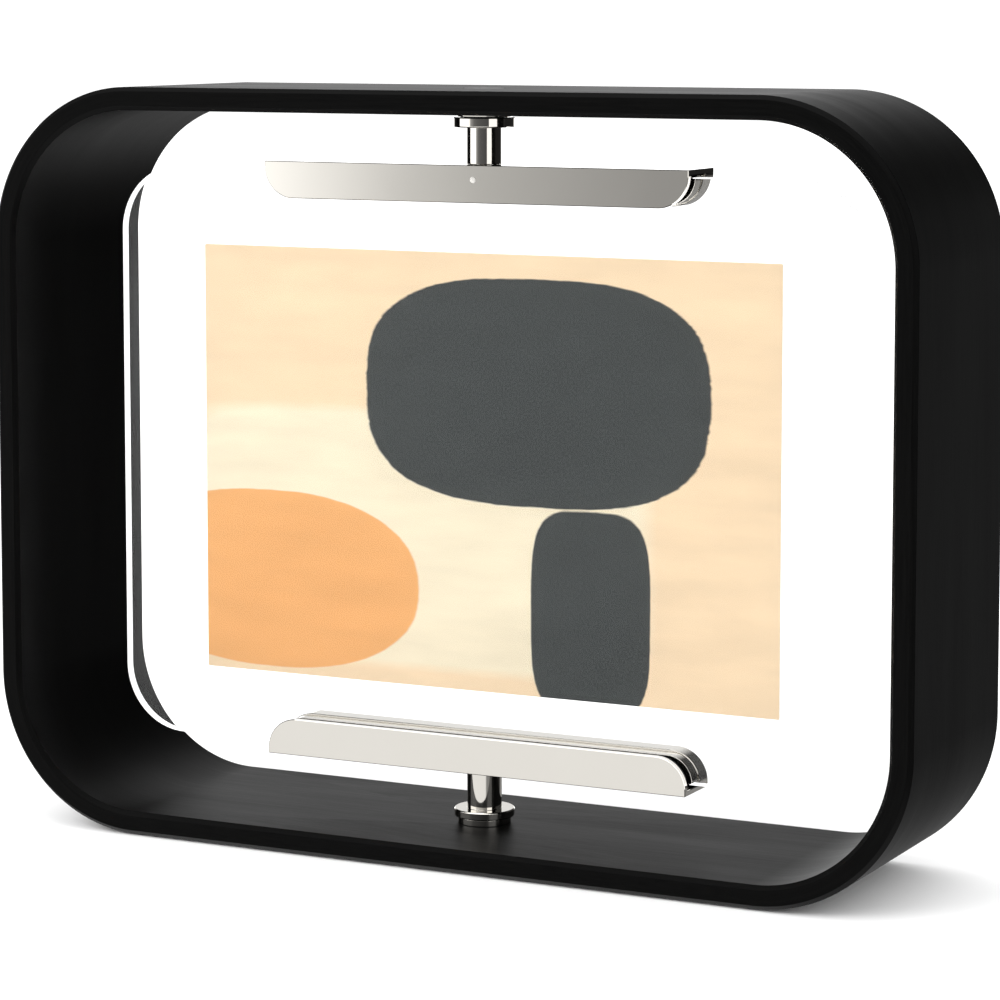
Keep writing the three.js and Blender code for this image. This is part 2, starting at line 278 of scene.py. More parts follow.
def finish_piece(piece, node, material):
    """Dresses a piece that stands for a CAD node, and makes it ride on that node's body."""
    shade(piece)
    piece.data.materials.clear()
    piece.data.materials.append(material)
    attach(piece, body_of_node(node))
    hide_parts(node)


# ---------- material helpers ----------
def add_node(tree, kind, inputs=None, **settings):
    """A shader node. Each input is a number, a colour or another node's output."""
    made = tree.nodes.new(kind)
    for name, value in settings.items():
        setattr(made, name, value)
    for name, value in (inputs or {}).items():
        if isinstance(value, bpy.types.NodeSocket):
            tree.links.new(value, made.inputs[name])
        else:
            made.inputs[name].default_value = value
    return made


def maths(tree, operation, *values):
    return add_node(tree, "ShaderNodeMath", dict(enumerate(values)), operation=operation).outputs[0]


def scaled_noise(tree, coordinates, scale, detail=4.0, roughness=0.5):
    """Noise whose grain has a size of its own along each axis: scale is in grains per metre."""
    mapping = add_node(tree, "ShaderNodeMapping", {"Vector": coordinates, "Scale": scale})
    noise = add_node(tree, "ShaderNodeTexNoise", {
        "Vector": mapping.outputs[0], "Scale": 1.0, "Detail": detail, "Roughness": roughness,
    })
    return noise.outputs[0]


def ranged(tree, value, low, high, from_low=0.3, from_high=0.7):
    """A noise value spread over a range of the material's own."""
    return add_node(tree, "ShaderNodeMapRange", {
        "Value": value, "From Min": from_low, "From Max": from_high, "To Min": low, "To Max": high,
    }).outputs[0]


def colour_mix(tree, factor, first, second):
    """A colour between two, by a factor from 0 to 1."""
    return add_node(tree, "ShaderNodeMix", {0: factor, 6: first, 7: second}, data_type="RGBA").outputs[2]


def bump(tree, height, strength, distance):
    """A surface normal with fine relief. The distance is in millimetres."""
    return add_node(tree, "ShaderNodeBump", {
        "Height": height, "Strength": strength, "Distance": distance * MM,
    }).outputs[0]


def new_material(name):
    """A material's node tree and its Principled node."""
    material = bpy.data.materials.new(name)
    material.use_nodes = True
    tree = material.node_tree
    return material, tree, tree.nodes["Principled BSDF"]


def object_coordinates(tree):
    return add_node(tree, "ShaderNodeTexCoord").outputs["Object"]


def link_input(tree, shader, name, output):
    tree.links.new(output, shader.inputs[name])


# ---------- materials ----------
def black_wood():
    """Stained and lacquered wood: fine grain along the hoop, faint in colour, gloss and relief."""
    material, tree, shader = new_material("black_wood")
    grain = add_node(tree, "ShaderNodeAttribute", attribute_name="grain").outputs["Vector"]
    streaks = scaled_noise(tree, grain, (40, 2200, 2200), detail=3)
    pores = scaled_noise(tree, grain, (350, 5200, 5200), detail=2)
    broad = scaled_noise(tree, grain, (9, 70, 70), detail=2)
    lines = maths(tree, "MULTIPLY_ADD", pores, 0.5, streaks)
    share = ranged(tree, lines, 0, 1, from_low=0.5, from_high=1.0)
    colour = colour_mix(tree, share, (0.0007, 0.0007, 0.0007, 1), (0.0022, 0.0022, 0.0021, 1))
    fine = ranged(tree, lines, -0.035, 0.035, from_low=0.5, from_high=1.0)
    link_input(tree, shader, "Base Color", colour)
    link_input(tree, shader, "Roughness", maths(tree, "ADD", fine, ranged(tree, broad, 0.37, 0.43)))
    link_input(tree, shader, "Normal", bump(tree, lines, strength=0.12, distance=0.02))
    shader.inputs["Specular IOR Level"].default_value = 0.04
    return material


def nickel(name, dark, light, smoothest, roughest):
    """Nickel plate with a trace of buffing, between two colours and two roughnesses."""
    material, tree, shader = new_material(name)
    place = object_coordinates(tree)
    cloud = scaled_noise(tree, place, (60, 60, 60), detail=3)
    buffing = scaled_noise(tree, place, (300, 5000, 5000), detail=2)
    marks = ranged(tree, buffing, 0.0, 0.015)
    roughness = maths(tree, "ADD", ranged(tree, cloud, smoothest, roughest), marks)
    link_input(tree, shader, "Base Color", colour_mix(tree, cloud, (*dark, 1), (*light, 1)))
    link_input(tree, shader, "Roughness", roughness)
    shader.inputs["Metallic"].default_value = 1.0
    return material


def bright_steel():
    """Zinc-plated steel, as on screws and washers."""
    material, tree, shader = new_material("steel")
    place = object_coordinates(tree)
    cloud = scaled_noise(tree, place, (700, 700, 700), detail=4)
    colour = colour_mix(tree, cloud, (0.42, 0.42, 0.41, 1), (0.56, 0.56, 0.55, 1))
    link_input(tree, shader, "Base Color", colour)
    link_input(tree, shader, "Roughness", ranged(tree, cloud, 0.24, 0.38))
    link_input(tree, shader, "Normal", bump(tree, cloud, strength=0.05, distance=0.02))
    shader.inputs["Metallic"].default_value = 1.0
    return material


def fine_plastic(name, dark, light, roughness, specular, grain, relief):
    """Moulded plastic or rubber with an even fine grain, counted in grains per metre."""
    material, tree, shader = new_material(name)
    place = object_coordinates(tree)
    speckle = scaled_noise(tree, place, (grain, grain, grain), detail=3)
    link_input(tree, shader, "Base Color", colour_mix(tree, speckle, (*dark, 1), (*light, 1)))
    spread = 0.05
    link_input(tree, shader, "Roughness", ranged(tree, speckle, roughness - spread, roughness + spread))
    link_input(tree, shader, "Normal", bump(tree, speckle, strength=relief, distance=0.03))
    shader.inputs["Specular IOR Level"].default_value = specular
    return material


def clear_pane():
    """Clear acrylic. Rays that look for lamps pass straight through, so the print is lit."""
    material, tree, shader = new_material("clear_pane")
    shader.inputs["Base Color"].default_value = (1.0, 1.0, 1.0, 1)
    shader.inputs["Roughness"].default_value = 0.0
    shader.inputs["IOR"].default_value = 1.49
    shader.inputs["Transmission Weight"].default_value = 1.0
    shader.inputs["Specular Tint"].default_value = (0.2, 0.2, 0.2, 1)
    through = add_node(tree, "ShaderNodeBsdfTransparent")
    path = add_node(tree, "ShaderNodeLightPath")
    mix = add_node(tree, "ShaderNodeMixShader", {
        0: path.outputs["Is Shadow Ray"], 1: shader.outputs[0], 2: through.outputs[0],
    })
    tree.links.new(mix.outputs[0], tree.nodes["Material Output"].inputs["Surface"])
    return material


def pane_rim():
    """The panes' sawn and sanded edges: white, partly translucent, with a painted glow from emission."""
    material, tree, shader = new_material("pane_rim")
    place = object_coordinates(tree)
    saw = scaled_noise(tree, place, (900, 900, 900), detail=3)
    link_input(tree, shader, "Base Color", colour_mix(tree, saw, (0.96, 0.96, 0.95, 1), (1, 1, 1, 1)))
    link_input(tree, shader, "Roughness", ranged(tree, saw, 0.35, 0.5))
    # Painted glow: the rim emits light of its own, in place of light carried out through the pane.
    shader.inputs["Emission Color"].default_value = (1, 1, 1, 1)
    shader.inputs["Emission Strength"].default_value = RIM_PAINTED_GLOW
    through = add_node(tree, "ShaderNodeBsdfTranslucent", {0: (1, 1, 1, 1)})
    mix = add_node(tree, "ShaderNodeMixShader", {0: 0.5, 1: shader.outputs[0], 2: through.outputs[0]})
    tree.links.new(mix.outputs[0], tree.nodes["Material Output"].inputs["Surface"])
    return material


# Artwork: plain painted patches. Places are (across, up) from the print's middle, and "half" holds half
# sizes. The power sets how square a patch is, "ragged" how far the brush frays its edge, and "edge" how soft
# that edge is.
PEACH = (0.98, 0.76, 0.51, 1)
CREAM = (0.98, 0.87, 0.65, 1)
ORANGE = (0.935, 0.475, 0.178, 1)
CHARCOAL = (0.050, 0.057, 0.056, 1)
PAPER = (0.93, 0.93, 0.91, 1)
PATCHES = [
    {"colour": CREAM, "middle": (-22, -20), "half": (72, 36), "power": 8.0, "ragged": 0.5, "edge": 1.5},
    {"colour": ORANGE, "middle": (-68, -34), "half": (48, 25.5), "power": 2.3, "ragged": 0.16, "edge": 0.2},
    {"colour": CHARCOAL, "middle": (16, 23), "half": (52.5, 31.5), "power": 2.9, "ragged": 0.35, "edge": 0.2},
    {"colour": CHARCOAL, "middle": (33, -37), "half": (18, 28.5), "power": 4.0, "ragged": 0.2, "edge": 0.2},
]
NOISE_MIDDLE = 0.5              # brush noise stays mostly within 1/6 to either side of this
NOISE_GAIN = 6                  # so this gain frays an edge by about its "ragged" distance


def painted_patch(tree, across, up, brush, patch):
    """Where a patch of paint lies: 1 inside, 0 outside, with an edge that the brush leaves ragged."""
    parts = []
    for value, middle, half in zip((across, up), patch["middle"], patch["half"]):
        away = maths(tree, "ABSOLUTE", maths(tree, "SUBTRACT", value, middle))
        parts.append(maths(tree, "POWER", maths(tree, "DIVIDE", away, half), patch["power"]))
    reach = maths(tree, "POWER", maths(tree, "ADD", *parts), 1 / patch["power"])
    outside = maths(tree, "MULTIPLY", maths(tree, "SUBTRACT", reach, 1), min(patch["half"]))
    swing = maths(tree, "SUBTRACT", brush, NOISE_MIDDLE)
    frayed = maths(tree, "MULTIPLY_ADD", swing, NOISE_GAIN * patch["ragged"], outside)
    return ranged(tree, frayed, 1, 0, -patch["edge"], patch["edge"])


def print_paper(low, high):
    """Matt paper, with the artwork on its front and bare paper on its other sides."""
    material, tree, shader = new_material("print_paper")
    place = object_coordinates(tree)
    axes = add_node(tree, "ShaderNodeSeparateXYZ", {0: place}).outputs
    middle = (low + high) / 2
    across = maths(tree, "MULTIPLY_ADD", axes["X"], 1 / MM, -middle.x)
    up = maths(tree, "MULTIPLY_ADD", axes["Z"], 1 / MM, -middle.z)
    bristles = scaled_noise(tree, place, (160, 160, 900), detail=5, roughness=0.7)
    sweep = scaled_noise(tree, place, (45, 45, 60), detail=3)
    bristle_share = 0.45
    brush = maths(tree, "MULTIPLY_ADD", bristles, bristle_share, maths(tree, "MULTIPLY", sweep, 0.55))
    colour = PEACH
    for patch in PATCHES:
        colour = colour_mix(tree, painted_patch(tree, across, up, brush, patch), colour, patch["colour"])
    tint = ranged(tree, scaled_noise(tree, place, (28, 28, 120), detail=4), 0.93, 1.04)
    mottled = add_node(tree, "ShaderNodeVectorMath", {0: colour}, operation="SCALE")
    tree.links.new(tint, mottled.inputs["Scale"])
    normal = add_node(tree, "ShaderNodeNewGeometry").outputs["True Normal"]
    settings = {"vector_type": "NORMAL", "convert_from": "WORLD", "convert_to": "OBJECT"}
    local = add_node(tree, "ShaderNodeVectorTransform", {0: normal}, **settings)
    facing = add_node(tree, "ShaderNodeSeparateXYZ", {0: local.outputs[0]}).outputs["Y"]
    front = maths(tree, "LESS_THAN", facing, -0.5)
    link_input(tree, shader, "Base Color", colour_mix(tree, front, PAPER, mottled.outputs[0]))
    fibre = scaled_noise(tree, place, (5000, 5000, 5000), detail=3)
    link_input(tree, shader, "Roughness", ranged(tree, fibre, 0.62, 0.78))
    link_input(tree, shader, "Normal", bump(tree, fibre, strength=0.015, distance=0.02))
    shader.inputs["Specular IOR Level"].default_value = 0.25
    return material


# ---------- hoop ----------
def hoop_section():
    """The hoop's chamfered section, as (distance in from the outer face, depth)."""
    wall, chamfer, half = HOOP["wall"], HOOP["chamfer"], hoop_size.y / 2
    corners = [
        (chamfer, -half), (wall - chamfer, -half), (wall, -half + chamfer), (wall, half - chamfer),
        (wall - chamfer, half), (chamfer, half), (0, half - chamfer), (0, -half + chamfer),
    ]
    return softened(corners, HOOP["edge"], closed=True)


def grain_place(x, y, z):
    """A point's distance along the hoop, its depth and its distance in from the outer face, in metres."""
    radius = HOOP["radius"]
    half_width, half_height = hoop_size.x / 2 - radius, hoop_size.z / 2 - radius
    perimeter = 4 * (half_width + half_height) + 2 * math.pi * radius
    x, z = x - hoop_centre.x, z - hoop_centre.z
    core_x = max(-half_width, min(half_width, x))
    core_z = max(-half_height, min(half_height, z))
    out = Vector((x - core_x, z - core_z))
    if x == core_x and z < 0:
        along = x % perimeter
    else:
        turn = (math.atan2(out.y, out.x) + math.pi / 2) % (2 * math.pi)
        quarter = min(int(turn / (math.pi / 2) + 1e-6), 3)
        straights = (
            half_width, half_width + half_height + core_z,
            2 * half_width + 2 * half_height - core_x, 3 * half_width + 3 * half_height - core_z,
        )
        along = straights[quarter] + radius * turn
    return Vector((along, y, radius - out.length)) * MM


def mark_grain(piece):
    """Stores on every face corner where it lies along the hoop. A corner is read a little inside its face."""
    data = piece.data
    inward = 0.002              # share of the way to the face's middle
    values = []
    for face in data.polygons:
        for corner in face.loop_indices:
            place = data.vertices[data.loops[corner].vertex_index].co.lerp(face.center, inward) / MM
            values.extend(grain_place(*place))
    data.attributes.new("grain", "FLOAT_VECTOR", "CORNER").data.foreach_set("vector", values)


def pivot_hole_cutter(name):
    """Stepped hole through the hoop's wall, with broken edges at both mouths."""
    hole, wall = PIVOT_HOLE, HOOP["wall"]
    mouth = hole["mouth"]
    past = 2 * PAST
    return turned(name, [
        (0, -past), (hole["counterbore"] + mouth, -past), (hole["counterbore"] + mouth, 0),
        (hole["counterbore"], mouth), (hole["counterbore"], hole["counterbore_depth"]),
        (hole["radius"], hole["counterbore_depth"]), (hole["radius"], wall - mouth),
        (hole["radius"] + mouth, wall), (hole["radius"] + mouth, wall + past), (0, wall + past),
    ])


def pivot_frame(side):
    """Matrix from a pivot's own heights to the frame. The upper pivot is the lower one turned over."""
    if side == "bottom":
        return Matrix.Translation(in_metres(0, 0, hoop_low.z))
    return Matrix.Translation(in_metres(0, 0, hoop_high.z)) @ Matrix.Rotation(math.pi, 4, "X")


PADS = [f"base_pad_{corner}" for corner in ("front_left", "front_right", "rear_left", "rear_right")]


def make_hoop(material):
    section = hoop_section()
    outer = rounded_rectangle(hoop_low, hoop_high, HOOP["radius"])
    mesh = bmesh.new()
    rings = []
    for index, (x, z) in enumerate(outer):
        turn = math.pi / 2 * (index // (CORNER_STEPS + 1) + index % (CORNER_STEPS + 1) / CORNER_STEPS)
        out = Vector((math.cos(turn), math.sin(turn)))
        rings.append([
            mesh.verts.new(in_metres(x - out.x * inward, hoop_centre.y + depth, z - out.y * inward))
            for inward, depth in section
        ])
    for ring, following in zip(rings, rings[1:] + rings[:1]):
        for k in range(len(section)):
            mesh.faces.new((ring[k - 1], ring[k], following[k], following[k - 1]))
    piece = new_piece("hoop_body", mesh)
    tools = [moved(pivot_hole_cutter(f"hole_{side}"), pivot_frame(side)) for side in ("bottom", "top")]
    for pad in PADS:
        low, high = box_mm(pad)
        middle = (low + high) / 2
        pocket = (high.x - low.x) / 2 + PAD_POCKET_GAP
        profile = [(0, -PAST), (pocket, -PAST), (pocket, high.z), (0, high.z)]
        tool = turned(f"pocket_{pad}", profile, SCREW_SEGMENTS)
        tools.append(moved(tool, Matrix.Translation(in_metres(middle.x, middle.y, 0))))
    cut(piece, tools)
    finish_piece(piece, "hoop", material)
    mark_grain(piece)


def make_base_pads(material):
    for pad in PADS:
        low, high = box_mm(pad)
        radius = (high.x - low.x) / 2
        profile = softened([(0, low.z), (radius, low.z), (radius, high.z), (0, high.z)], BASE_PAD_EDGE)
        piece = turned(f"{pad}_disc", profile, SCREW_SEGMENTS)
        moved(piece, Matrix.Translation(in_metres(low.x + radius, low.y + radius, 0)))
        finish_piece(piece, pad, material)


# ---------- pivots ----------
def hex_cutter(name, radius, low, high):
    return turned(name, [(0, low), (radius, low), (radius, high), (0, high)], segments=6)


def cap_profile(node):
    low, high = box_mm(node)
    radius = (high.x - low.x) / 2
    return softened([(0, 0), (radius, 0), (radius, CAP["thickness"]), (0, CAP["thickness"])], CAP["edge"])


def bush_profile():
    bore, radius, flange = BUSH["bore"], BUSH["radius"], BUSH["flange"]
    start, flange_end, end = BUSH["start"], BUSH["flange_end"], BUSH["end"]
    return softened([
        (bore, start), (flange, start), (flange, flange_end),
        (radius, flange_end), (radius, end), (bore, end),
    ], BUSH["edge"], closed=True)


def ring_end(side):
    return DISC_START[side] - RING["gap_to_disc"]


def recess_start(side):
    return ring_end(side) - RING["recess_depth"]


def ring_profile(side):
    low, high = box_mm(f"{side}_bearing_ring")
    bore, recess, radius = RING["bore"], RING["recess"], (high.x - low.x) / 2
    return softened([
        (bore, RING["start"]), (radius, RING["start"]), (radius, ring_end(side)),
        (recess, ring_end(side)), (recess, recess_start(side)), (bore, recess_start(side)),
    ], RING["edge"], closed=True)


def make_wave_washer(name, side):
    """Thin washer with waves, halfway between the ring's recess and the disc."""
    inner, outer, thickness = WASHER["inner"], WASHER["outer"], WASHER["thickness"]
    middle = (recess_start(side) + DISC_START[side]) / 2
    low, high = middle - thickness / 2, middle + thickness / 2
    profile = [(inner, low), (outer, low), (outer, high), (inner, high)]
    piece = turned(name, softened(profile, WASHER["edge"], closed=True))
    for vertex in piece.data.vertices:
        turn = math.atan2(vertex.co.y, vertex.co.x)
        vertex.co.z += WASHER["wave"] * MM * math.cos(WASHER["waves"] * turn)
    return piece


def make_pivot_screw(name):
    head, radius = PIVOT_SCREW["head"], PIVOT_SCREW["radius"]
    start, head_end, end = PIVOT_SCREW["start"], PIVOT_SCREW["head_end"], PIVOT_SCREW["end"]
    profile = softened([
        (0, start), (head, start), (head, head_end), (radius, head_end), (radius, end), (0, end),
    ], PIVOT_SCREW["edge"])
    socket = hex_cutter(f"{name}_socket", HEX_SOCKET["radius"], start - PAST, start + HEX_SOCKET["depth"])
    return cut(turned(name, profile, SCREW_SEGMENTS), [socket])


def spindle_profile(side, post_end):
    """Journal, disc and post in one turned piece, with a screw hole in each end. The three stretches overlap
    on the disc's flat sides, and the points where they overlap are dropped."""
    hole, hole_end = SPINDLE["screw_hole"], SPINDLE["screw_hole_end"]
    journal, journal_start = SPINDLE["journal"], SPINDLE["journal_start"]
    disc, chamfer = SPINDLE["disc"], SPINDLE["disc_chamfer"]
    disc_start, disc_end = DISC_START[side], SPINDLE["disc_end"]
    post = SPINDLE["post"]
    upper_hole_start = post_end - SPINDLE["upper_hole_depth"]
    flat = disc - chamfer           # radius of the disc's flat sides
    lower_stretch = softened([
        (0, hole_end), (hole, hole_end), (hole, journal_start),
        (journal, journal_start), (journal, disc_start), (flat, disc_start),
    ], SPINDLE["journal_edge"])
    disc_stretch = softened([
        (flat - 1, disc_start), (flat, disc_start), (disc, disc_start + chamfer),
        (disc, disc_end - chamfer), (flat, disc_end), (flat - 1, disc_end),
    ], SPINDLE["edge"])
    upper_stretch = softened([
        (flat - 2, disc_end), (post, disc_end), (post, post_end),
        (hole, post_end), (hole, upper_hole_start), (0, upper_hole_start),
    ], SPINDLE["post_edge"])
    return lower_stretch[:-1] + disc_stretch[1:-1] + upper_stretch[1:]


def make_pivots(materials):
    """The pieces of both pivots, from the cap at the hoop's outer face inwards to the spindle."""
    for side in ("bottom", "top"):
        place = pivot_frame(side)
        low, high = box_mm(f"{side}_spindle")
        outer = hoop_low.z if side == "bottom" else hoop_high.z
        post_end = max(abs(low.z - outer), abs(high.z - outer))
        pieces = [
            ("cap", turned(f"{side}_cap_disc", cap_profile(f"{side}_cap")), "black_cap"),
            ("bush", turned(f"{side}_bush_turned", bush_profile()), "white_plastic"),
            ("bearing_ring", turned(f"{side}_bearing_ring_turned", ring_profile(side)), "polished_nickel"),
            ("wave_washer", make_wave_washer(f"{side}_wave_washer_pressed", side), "steel"),
            ("pivot_screw", make_pivot_screw(f"{side}_pivot_screw_turned"), "steel"),
            ("spindle", turned(f"{side}_spindle_turned", spindle_profile(side, post_end)), "polished_nickel"),
        ]
        for node, piece, slot in pieces:
            finish_piece(moved(piece, place), f"{side}_{node}", materials[slot])


# ---------- channels ----------
def lain_along_y(piece, x, z):
    """A round piece laid over, so that its own heights run along Y."""
    turn = Matrix.Rotation(-math.pi / 2, 4, "X")
    return moved(piece, Matrix.Translation(in_metres(x, 0, z)) @ turn)


def rod_along_y(name, profile, x, z):
    return lain_along_y(turned(name, profile, SCREW_SEGMENTS), x, z)


def screw_hole_cutter(name, screw_node, sizes, start, face, toward):
    """Hole along Y through a cheek, from its inner side to its outer face, with a countersunk mouth."""
    hole, chamfer = sizes["hole"], sizes["chamfer"]
    low, high = box_mm(screw_node)
    first, last = start - toward * PAST, face + toward * PAST
    profile = [
        (0, first), (hole, first), (hole, face - toward * chamfer),
        (hole + chamfer, face), (hole + chamfer, last), (0, last),
    ]
    return rod_along_y(name, profile, (low.x + high.x) / 2, (low.z + high.z) / 2)


def channel_screw_outline(top, gap, softness):
    """The countersunk screw's outline below a height, as (radius, height), widened by a gap for its hole."""
    radius, head = CHANNEL_SCREW["radius"] + gap, CHANNEL_SCREW["head"] + gap
    point, neck = top - CHANNEL_SCREW["length"], top - CHANNEL_SCREW["head_height"]
    outline = [(0, point), (radius, point), (radius, neck), (head, top), (0, top)]
    return softened(outline, softness) if softness else outline


def channel_frame(side):
    """Matrix from a channel that stands on z = 0 to its place. The upper one is mirrored."""
    low, high = box_mm(f"{side}_channel")
    if side == "bottom":
        return Matrix.Translation(in_metres(0, 0, low.z))
    return Matrix.Translation(in_metres(0, 0, high.z)) @ Matrix.Scale(-1, 4, (0, 0, 1))


def channel_screw_hole(side):
    """Cutter for the countersunk hole in a channel's floor. Its wide end runs a little past the floor."""
    floor, gap = CHANNEL["floor"], CHANNEL_SCREW["gap"]
    outline = channel_screw_outline(floor - CHANNEL_SCREW["sink"], gap, 0)
    widest = outline[-2][0]
    profile = outline[:-1] + [(widest, floor + gap), (0, floor + gap)]
    return moved(turned("screw_hole", profile, SCREW_SEGMENTS), channel_frame(side))


def make_channel(side, material):
    """Bar with a slot for the panes. It is chamfered before its holes are drilled."""
    node = f"{side}_channel"
    low, high = box_mm(node)
    upright = side == "bottom"
    floor = CHANNEL["floor"]
    slot_front = low.y + CHANNEL["front_cheek"]
    slot_rear = high.y - CHANNEL["rear_cheek"]
    past = 2 * PAST
    piece = extruded(f"{node}_milled", cheek_outline(low, high, CHANNEL["corner"], upright), low.y, high.y)
    slot_low = low.z + floor if upright else low.z - past
    slot_high = high.z + past if upright else high.z - floor
    slot = block("slot", (low.x - past, slot_front, slot_low), (high.x + past, slot_rear, slot_high))
    cut(piece, [slot])
    soften_edges(piece, CHANNEL["chamfer"], steps=1)
    tools = [channel_screw_hole(side)]
    for hand in ("left", "right"):
        tools.append(screw_hole_cutter(
            f"clamp_hole_{hand}", f"{side}_clamp_screw_{hand}", CLAMP_SCREW, slot_rear, high.y, toward=1,
        ))
    if side == "top":
        tools.append(screw_hole_cutter(
            "stop_hole", "pane_stop_screw", STOP_SCREW, slot_front, low.y, toward=-1,
        ))
    cut(piece, tools)
    finish_piece(piece, node, material)


def make_channel_screw(side, material):
    top = CHANNEL["floor"] - CHANNEL_SCREW["sink"]
    outline = channel_screw_outline(top, 0, CHANNEL_SCREW["edge"])
    piece = turned(f"{side}_channel_screw_turned", outline, SCREW_SEGMENTS)
    cut(piece, [hex_cutter("socket", HEX_SOCKET["radius"], top - HEX_SOCKET["depth"], top + PAST)])
    finish_piece(moved(piece, channel_frame(side)), f"{side}_channel_screw", material)


def make_slot_strip(side, node, made, sizes, slot, materials):
    """Strip in a channel's slot, with the channel's own outline a little smaller."""
    low, high = box_mm(node)
    outline = cheek_outline(low, high, sizes["corner"], side == "bottom")
    piece = extruded(f"{node}_{made}", outline, low.y, high.y)
    soften_edges(piece, sizes["edge"])
    finish_piece(piece, node, materials[slot])


def make_clamp_screws(side, material):
    """Headless screws: a rounded point against the strip, and a hexagonal socket at the rear."""
    point, chamfer = CLAMP_SCREW["point"], CLAMP_SCREW["chamfer"]
    for hand in ("left", "right"):
        node = f"{side}_clamp_screw_{hand}"
        low, high = box_mm(node)
        middle = (low + high) / 2
        radius = (high.x - low.x) / 2
        profile = softened([
            (0, low.y), (radius - point, low.y), (radius, low.y + point),
            (radius, high.y - chamfer), (radius - chamfer, high.y), (0, high.y),
        ], CLAMP_SCREW["edge"])
        piece = rod_along_y(f"{node}_turned", profile, middle.x, middle.z)
        bottom = high.y - CLAMP_SCREW["socket_depth"]
        socket = hex_cutter("socket", CLAMP_SCREW["socket"], bottom, high.y + PAST)
        cut(piece, [lain_along_y(socket, middle.x, middle.z)])
        finish_piece(piece, node, material)


def make_stop_screw(material):
    """Small flat pin in the upper channel's front cheek. It reaches a little past the CAD screw's face."""
    node = "pane_stop_screw"
    low, high = box_mm(node)
    middle = (low + high) / 2
    radius = (high.x - low.x) / 2
    front = low.y - STOP_SCREW["reach"]
    profile = softened([(0, high.y), (radius, high.y), (radius, front), (0, front)], STOP_SCREW["edge"])
    piece = rod_along_y(f"{node}_turned", profile, middle.x, middle.z)
    # The pin's material has a painted highlight: a base colour lighter than the channel's nickel.
    finish_piece(piece, node, material)


def make_bottom_pad(material):
    """Soft strip on the lower channel's floor, under the panes."""
    low, high = box_mm("bottom_pad")
    piece = block("bottom_pad_strip", low, high)
    soften_edges(piece, BOTTOM_PAD_EDGE)
    finish_piece(piece, "bottom_pad", material)


# ---------- panes and print ----------
def make_pane(node, materials):
    """Clear pane with a white rim. The rim stays clear where the channels hold it, between two more points in
    its upper and lower edges."""
    low, high = box_mm(node)
    channel_low, channel_high = box_mm("bottom_channel")
    outline = rounded_rectangle(low, high, PANE["corner"])
    quarter = CORNER_STEPS + 1
    outline[3 * quarter:3 * quarter] = [(channel_low.x, low.z), (channel_high.x, low.z)]
    outline[quarter:quarter] = [(channel_high.x, high.z), (channel_low.x, high.z)]
    piece = extruded(f"{node}_polished", outline, low.y, high.y)
    soften_edges(piece, PANE["edge"])
    finish_piece(piece, node, materials["clear_pane"])
    piece.data.materials.append(materials["pane_rim"])
    for face in piece.data.polygons:
        held = channel_low.x < face.center.x / MM < channel_high.x
        face.material_index = 1 if abs(face.normal.y) < RIM_FACING and not held else 0


def make_print():
    low, high = box_mm("print")
    piece = extruded("print_sheet", rounded_rectangle(low, high, PRINT["corner"]), low.y, high.y)
    soften_edges(piece, PRINT["edge"])
    finish_piece(piece, "print", print_paper(low, high))


# ---------- stage ----------
def make_camera():
    yaw, pitch = math.radians(CAMERA["yaw"]), math.radians(CAMERA["pitch"])
    forward = Vector((-math.sin(yaw) * math.cos(pitch), math.cos(yaw) * math.cos(pitch), -math.sin(pitch)))
    data = bpy.data.cameras.new("camera")
    data.lens = CAMERA["lens"]
    data.shift_y = CAMERA["shift_y"]
    data.clip_start = CAMERA["clip_start"]
    camera = bpy.data.objects.new("camera", data)
    camera.location = CAMERA["place"]
    camera.rotation_euler = forward.to_track_quat("-Z", "Y").to_euler()
    bpy.context.scene.collection.objects.link(camera)
    bpy.context.scene.camera = camera


def make_floor():
    mesh = bmesh.new()
    bmesh.ops.create_circle(mesh, cap_ends=True, radius=FLOOR["radius"], segments=ROUND_SEGMENTS)
    floor = new_piece("floor", mesh)
    material, _, shader = new_material("floor")
    shader.inputs["Base Color"].default_value = (FLOOR["grey"], FLOOR["grey"], FLOOR["grey"], 1)
    shader.inputs["Roughness"].default_value = 1.0
    shader.inputs["Specular IOR Level"].default_value = 0.0
    floor.data.materials.append(material)
    floor.visible_glossy = False


def make_key_light():
    """Large soft lamp in front, up and to the left. Glossy surfaces show the cards below instead of it."""
    data = bpy.data.lights.new("key", "AREA")
    data.energy = KEY["power"]
    data.size = KEY["size"]
    light = bpy.data.objects.new("key", data)
    light.location = KEY["place"]
    light.rotation_euler = (-light.location).to_track_quat("-Z", "Y").to_euler()
    light.visible_glossy = False
    light.visible_transmission = False
    bpy.context.scene.collection.objects.link(light)


# What the glossy surfaces mirror: a studio's white and dark cards, as (degrees of the compass, brightness).
# Level cards stand at the object's height, low cards below it and high cards above it.
BRIGHTEST_CARD = 2.4            # a ramp holds colours up to 1, so its brightness is scaled by this
LEVEL_CARDS = [
    (-180, 1.7), (-121.2, 1.7), (-120.3, 1.4), (-119.3, 1.09), (-118.3, 0.79), (-117.3, 0.65), (-116.3, 0.52),
    (-115, 0.44), (-113.6, 0.36), (-101.6, 0.165), (-88, 0.117), (-46, 0.08), (-45, 1.4), (-14, 1.4),
    (-12, 0.015), (77, 0.02), (95, 2.2), (138, 2.2), (149, 0.02), (175, 0.02), (178, 1.7),
]
LOW_CARDS = [
    (-180, 0.02), (-174, 1.05), (-57, 1.0), (-50, 0.3), (-20, 0.25), (-14, 0.02), (55, 0.02), (66, 0.3),
    (117, 0.3), (150, 0.02),
]
HIGH_CARDS = [
    (-180, 1.6), (-127, 1.6), (-118, 0.9), (-60, 0.3), (-46, 0.3), (-45, 1.6), (-14, 1.6), (-12, 0.05),
    (88, 0.05), (106, 0.9), (140, 0.9), (149, 0.1), (175, 0.1), (178, 1.6),
]
OVERHEAD_LIGHT = 2.5
UNDERFOOT_LIGHT = 2.2
